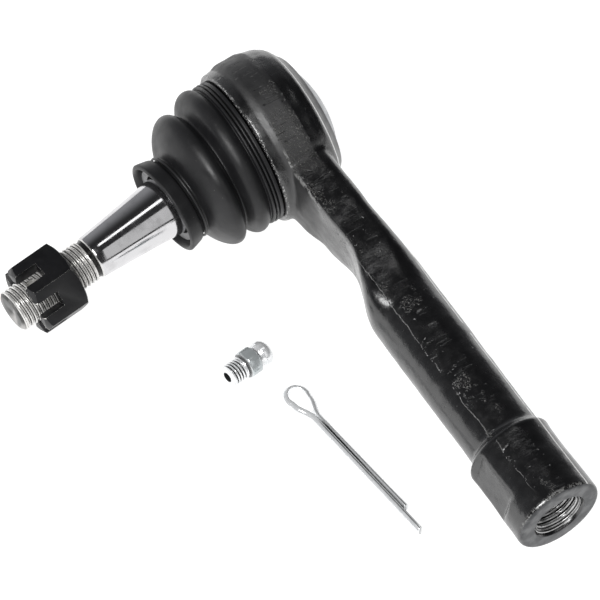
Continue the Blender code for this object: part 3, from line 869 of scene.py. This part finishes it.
def make_stud(steel, thread_steel, end_steel):
    steps = 96
    rows = [ring(0.01, -9.0, steps), ring(7.6, -9.0, steps)]
    rows += list(reversed(ball_rows(12.0, 9.6, -8.9, steps, 24)))
    for radius, height in ((7.2, 10.4), (7.2, 14.5), (7.6, 16.0), (8.2, 18.5), (8.38, 21.0),
                           (8.38, 34.6), (8.36, 35.6), (7.8, 40.8), (7.2, 46.9), (6.75, 52.0),
                           (6.35, 56.5), (6.12, 58.9), (6.0, 59.25), (5.55, 59.6), (5.45, 60.1),
                           (5.5, 60.6)):
        rows.append(ring(radius, height, steps))
    rows += thread_rows(THREAD_R, 60.9, STUD_TIP - 0.9, THREAD_PITCH, THREAD_DEPTH, steps, 16, 0.5)
    for radius, height in ((THREAD_R - 0.35, STUD_TIP - 0.55), (THREAD_R - 0.95, STUD_TIP - 0.05),
                           (THREAD_R - 1.3, STUD_TIP), (2.0, STUD_TIP), (1.3, STUD_TIP - 0.25),
                           (0.01, STUD_TIP - 0.5)):
        rows.append(ring(radius, height, steps))
    mesh = grid_mesh("stud", rows)
    hole = turned("hole", ((0, -15.0), (CROSS_HOLE_R, -15.0), (CROSS_HOLE_R, 15.0),
                            (0, 15.0)), 40)
    hole.transform(Matrix.Translation((0, 0, CROSS_HOLE_AT)) @ Matrix.Rotation(SLOT_ANGLE, 4, "Z")
                   @ Matrix.Rotation(math.pi / 2, 4, "Y"))
    mesh = modified(mesh, ((hole, "DIFFERENCE"),))
    piece = new_piece("stud", mesh, TILTED, "stud", (steel, thread_steel, end_steel), 40.0)
    for polygon in piece.data.polygons:
        reach = (polygon.center - BALL).dot(STUD) / MM
        if reach > STUD_TIP - 0.5:
            polygon.material_index = 2
        elif reach > 59.2:
            polygon.material_index = 1
    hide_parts("ball_stud")


def make_nut(oxide, edge):
    corner = NUT_AF / math.sqrt(3)
    nut = hex_prism("nut", NUT_AF, NUT_INNER, NUT_OUTER, SLOT_ANGLE + math.pi / 6)
    dome = turned("dome", (
        (0, NUT_OUTER), (NUT_AF / 2 - 0.5, NUT_OUTER), (corner + 0.1, NUT_OUTER - 1.15),
        (corner + 0.1, NUT_INNER + 1.1), (NUT_AF / 2 - 0.4, NUT_INNER), (0, NUT_INNER)), 160)
    bore = turned("bore", (
        (0, NUT_OUTER + 1.0), (NUT_BORE_R + 1.6, NUT_OUTER + 1.0), (NUT_BORE_R, NUT_OUTER - 0.6),
        (NUT_BORE_R, NUT_INNER + 0.8), (NUT_BORE_R + 1.8, NUT_INNER - 1.0), (0, NUT_INNER - 1.0)), 96)
    tools = [(dome, "INTERSECT"), (bore, "DIFFERENCE")]
    for i in range(3):
        tools.append((solid_box((30.0, SLOT_WIDTH, SLOT_DEPTH + 2.0),
                                (0, 0, NUT_OUTER - SLOT_DEPTH / 2 + 1.0),
                                SLOT_ANGLE + i * math.pi / 3), "DIFFERENCE"))
    nut = modified(nut, tools, bevel=NUT_EDGE)
    for polygon in nut.polygons:
        corners = [nut.vertices[i].co for i in polygon.vertices]
        sides = [(a - b).length for a, b in zip(corners, corners[1:] + corners[:1])]
        narrow = min(sides) < NUT_EDGE and max(sides) > 2 * NUT_EDGE
        small = len(corners) <= 4 and polygon.area < NUT_EDGE * NUT_OUTER / 4
        polygon.material_index = 1 if narrow and small else 0
    piece = new_piece("slotted_nut", nut, TILTED, "nut", (oxide, edge), 24.0)
    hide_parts("castle_nut")


# ---------------------------------------------------------------- cover, pin and nipple
def make_cover(plate):
    profile = rounded(((16.3, -9.95), (16.35, -10.6), (16.2, -11.25), (15.0, -11.3)), 3)
    profile += rounded(((14.4, -11.6), (13.2, -12.9), (10.6, -14.4), (6.6, -15.6), (4.0, -16.1)), 6)
    profile += [(3.3, -16.25), (2.85, -16.2), (2.8, -15.8), (2.8, -14.8), (2.9, -14.6)]
    profile += [(6.0, -14.3), (9.8, -13.1), (12.2, -11.6), (13.6, -9.95)]
    piece = new_piece("cover", turned("cover", profile, 160, closed=True), SOCKET, "housing",
                      (plate,), 40.0)
    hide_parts("cover_plate")


def pin_path():
    """Middle line of the folded half-round wire, eye at the origin, long leg on the far side."""
    side = 0.84
    eye = 3.05
    leaving = ((11.0, side), (9.0, side * 1.02), (7.6, side * 1.18), (6.0, side * 1.75),
               (4.6, side * 2.45), (3.2, side * 3.05))
    points = [(45.0, side + 0.35), (36.0, side + 0.22), (24.0, side + 0.1), (16.0, side)]
    points += list(leaving)
    for i in range(25):
        angle = math.radians(66.0 + 228.0 * i / 24)
        points.append((eye * 1.12 * math.cos(angle), eye * math.sin(angle)))
    points += [(x, -y) for x, y in reversed(leaving)]
    points += [(16.0, -side), (24.0, -side), (36.0, -side), (53.0, -side)]
    return points


def make_pin(bright):
    radius = 1.55
    path = rounded(pin_path(), 3)
    section = [(radius * (math.cos(a) - 0.5), radius * math.sin(a))
               for a in (math.radians(-84 + 168.0 * i / 14) for i in range(15))]
    section = [(-radius * 0.47, -radius * 0.9)] + section + [(-radius * 0.47, radius * 0.9)]
    rows = []
    for i, (x, y) in enumerate(path):
        before = path[max(i - 1, 0)]
        after = path[min(i + 1, len(path) - 1)]
        along = Vector((after[0] - before[0], after[1] - before[1], 0)).normalized()
        out = Vector((along.y, -along.x, 0))
        rows.append([Vector((x, y, 0)) + out * u + Vector((0, 0, v)) for u, v in section])
    mesh = modified(grid_mesh("pin", rows), (), bevel=0.12)
    piece = new_piece("split_pin_wire", mesh, PIN, "split_pin", (bright,), 45.0)
    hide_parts("cotter_pin")


def make_nipple(bright):
    half = NIPPLE_AF / 2
    block = hex_prism("block", NIPPLE_AF, -1.9, 2.1, math.pi / 6)
    dome = turned("dome", ((0, 2.1), (half - 0.35, 2.1), (half + 0.25, 1.5), (half + 0.25, -1.3),
                           (half - 0.35, -1.9), (0, -1.9)), 96)
    hole = turned("hole", ((0, 3.0), (1.9, 3.0), (1.9, -3.0), (0, -3.0)), 48)
    block = modified(block, ((dome, "INTERSECT"), (hole, "DIFFERENCE")), bevel=0.12)
    piece = new_piece("nipple_hex", block, NIPPLE_AXES, "grease_fitting", (bright,), 24.0)
    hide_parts("grease_fitting_body")

    steps = 72
    rows = [ring(1.35, -7.4, steps), ring(2.35, -7.42, steps), ring(2.62, -7.25, steps)]
    rows += thread_rows(NIPPLE_R, -7.0, -2.5, NIPPLE_PITCH, NIPPLE_THREAD_DEPTH, steps, 10, 0.5)
    for radius, height in ((2.75, -2.3), (2.7, -1.95), (2.7, -1.85)):
        rows.append(ring(radius, height, steps))
    upper = rounded(((3.0, 2.0), (2.9, 2.3), (2.85, 2.7), (3.1, 3.1), (3.5, 3.6), (3.62, 4.3),
                     (3.58, 4.95), (3.2, 5.75), (2.5, 6.4), (1.6, 6.66)), 4)
    for radius, height in upper:
        rows.append(ring(radius, height, steps))
    for radius, height in ((1.0, 6.7), (0.85, 6.5), (0.8, 5.6), (1.3, 4.9), (1.3, -7.1)):
        rows.append(ring(radius, height, steps))
    piece = new_piece("nipple_stem", grid_mesh("stem", rows, closed_rows=True), NIPPLE_AXES,
                      "grease_fitting", (bright,), 40.0)


# ---------------------------------------------------------------- stage, lights and camera
def make_stage():
    build = bmesh.new()
    bmesh.ops.create_grid(build, x_segments=1, y_segments=1, size=3.0)
    mesh = bpy.data.meshes.new("table")
    build.to_mesh(mesh)
    build.free()
    floor = bpy.data.objects.new("table", mesh)
    bpy.context.scene.collection.objects.link(floor)
    paper = Paint("white_table", (0.25, 0.25, 0.25), 0.6, specular=0.1)
    paper.shader.inputs["Emission Color"].default_value = (1, 1, 1, 1)
    paper.shader.inputs["Emission Strength"].default_value = 1.0
    mesh.materials.append(paper.material)


def area_light(name, place, size, power, target=(0, 0, 0.01)):
    light = bpy.data.lights.new(name, "AREA")
    light.shape = "RECTANGLE"
    light.size = size[0]
    light.size_y = size[1]
    light.energy = power
    lamp = bpy.data.objects.new(name, light)
    bpy.context.scene.collection.objects.link(lamp)
    lamp.location = place
    lamp.rotation_euler = (Vector(target) - Vector(place)).to_track_quat("-Z", "Y").to_euler()
    return lamp


KEY_FROM = (0.30, -0.62, 0.72)
GLOW_TOWARD = (-0.85, -0.1, -0.52)
ROOM_LIGHT = (0.03, 0.34)


def make_lights():
    """Overhead strip, grey card and a soft key; the room is dark apart from a low glow on one side."""
    world = bpy.data.worlds.new("room")
    bpy.context.scene.world = world
    world.use_nodes = True
    tree = world.node_tree
    tree.nodes["Background"].inputs["Color"].default_value = (0.95, 0.96, 1.0, 1)
    toward = tree.nodes.new("ShaderNodeVectorMath")
    toward.operation = "DOT_PRODUCT"
    toward.inputs[1].default_value = GLOW_TOWARD
    tree.links.new(tree.nodes.new("ShaderNodeTexCoord").outputs["Generated"], toward.inputs[0])
    glow = tree.nodes.new("ShaderNodeMapRange")
    glow.interpolation_type = "SMOOTHSTEP"
    glow.inputs["From Min"].default_value = -0.25
    glow.inputs["From Max"].default_value = 0.8
    glow.inputs["To Min"].default_value = ROOM_LIGHT[0]
    glow.inputs["To Max"].default_value = ROOM_LIGHT[1]
    tree.links.new(toward.outputs["Value"], glow.inputs["Value"])
    tree.links.new(glow.outputs["Result"], tree.nodes["Background"].inputs["Strength"])
    area_light("overhead_strip", (0.0, 0.10, 1.0), (0.16, 0.6), 0.6)
    area_light("grey_card", (1.05, 0.26, 0.74), (0.7, 1.3), 1.9)
    sun = bpy.data.lights.new("key", "SUN")
    sun.energy = 2.6
    sun.angle = math.radians(30.0)
    lamp = bpy.data.objects.new("key", sun)
    bpy.context.scene.collection.objects.link(lamp)
    lamp.rotation_euler = Vector(KEY_FROM).to_track_quat("Z", "Y").to_euler()
    bpy.context.scene.view_settings.view_transform = "Standard"


CAMERA_DISTANCE = 1.6
CAMERA_BACK = Vector((0.5116, -0.3472, 0.7860)).normalized()
CAMERA_RIGHT = Vector((0.5382, 0.8425, 0.0219)).normalized()
AIM_RIGHT = 0.00827
AIM_UP = -0.04413
LENS = 360.0


def make_camera():
    data = bpy.data.cameras.new("camera")
    data.lens = LENS
    data.sensor_width = 36.0
    camera = bpy.data.objects.new("camera", data)
    bpy.context.scene.collection.objects.link(camera)
    right = (CAMERA_RIGHT - CAMERA_BACK * CAMERA_RIGHT.dot(CAMERA_BACK)).normalized()
    up = CAMERA_BACK.cross(right)
    place = BALL + right * AIM_RIGHT + up * AIM_UP + CAMERA_BACK * CAMERA_DISTANCE
    turn = Matrix((right, up, CAMERA_BACK)).transposed().to_4x4()
    camera.matrix_world = Matrix.Translation(place) @ turn
    data.clip_start = 0.05
    data.clip_end = 20.0
    bpy.context.scene.camera = camera


def dress_inner_nodes():
    """CAD nodes kept as they are: bearings, springs and the check ball."""
    plastic = plain("bearing_plastic", (0.78, 0.75, 0.66), 0.45)
    spring = plain("spring_wire", (0.30, 0.30, 0.31), 0.32, 1.0, 0.4, 0.01)
    looks = {"lower_bearing": plastic, "upper_bearing": plastic, "preload_spring": spring,
             "grease_check_ball": spring, "grease_check_spring": spring}
    for node, material in looks.items():
        data = frame["nodes"][node].data
        data.materials.clear()
        data.materials.append(material)
        data.shade_smooth()
        data.set_sharp_from_angle(angle=math.radians(35))


def main():
    paint = forged_paint()
    taper_steel = bright_steel("ground_taper", (0.66, 0.655, 0.665), 0.10, TILTED, 0.006,
                               (0.25, 0.25, 3.0))
    thread_steel = threaded_steel("rolled_thread", TILTED, THREAD_R - THREAD_DEPTH + 0.05,
                                  THREAD_R - 0.15, (0.80, 0.79, 0.77))
    bore_axes = placed(BALL - SOCKET_OUT * END_SIDE * MM, UP, -SOCKET_OUT, SHANK)
    bore_steel = threaded_steel("cut_thread", bore_axes, BORE_MAJOR_R, BORE_MINOR_R + 0.1,
                                (0.55, 0.55, 0.55))
    dark_ring = plain("dark_ring", (0.018, 0.018, 0.019), 0.40, 0.2, 0.6, 0.02)
    make_housing(paint, machined_end(), bore_steel)
    make_boot(boot_rubber())
    make_boot_rings(dark_ring, plain("collar_washer", (0.20, 0.20, 0.205), 0.34, 1.0, 0.5, 0.02))
    make_stud(taper_steel, thread_steel, shaded_stud_end())
    make_nut(black_oxide(), worn_edge())
    make_cover(plain("cover_plate", (0.42, 0.43, 0.44), 0.36, 0.9, 1.2, 0.05))
    make_pin(zinc_wire())
    make_nipple(zinc_nipple())
    dress_inner_nodes()
    make_stage()
    make_lights()
    make_camera()


main()
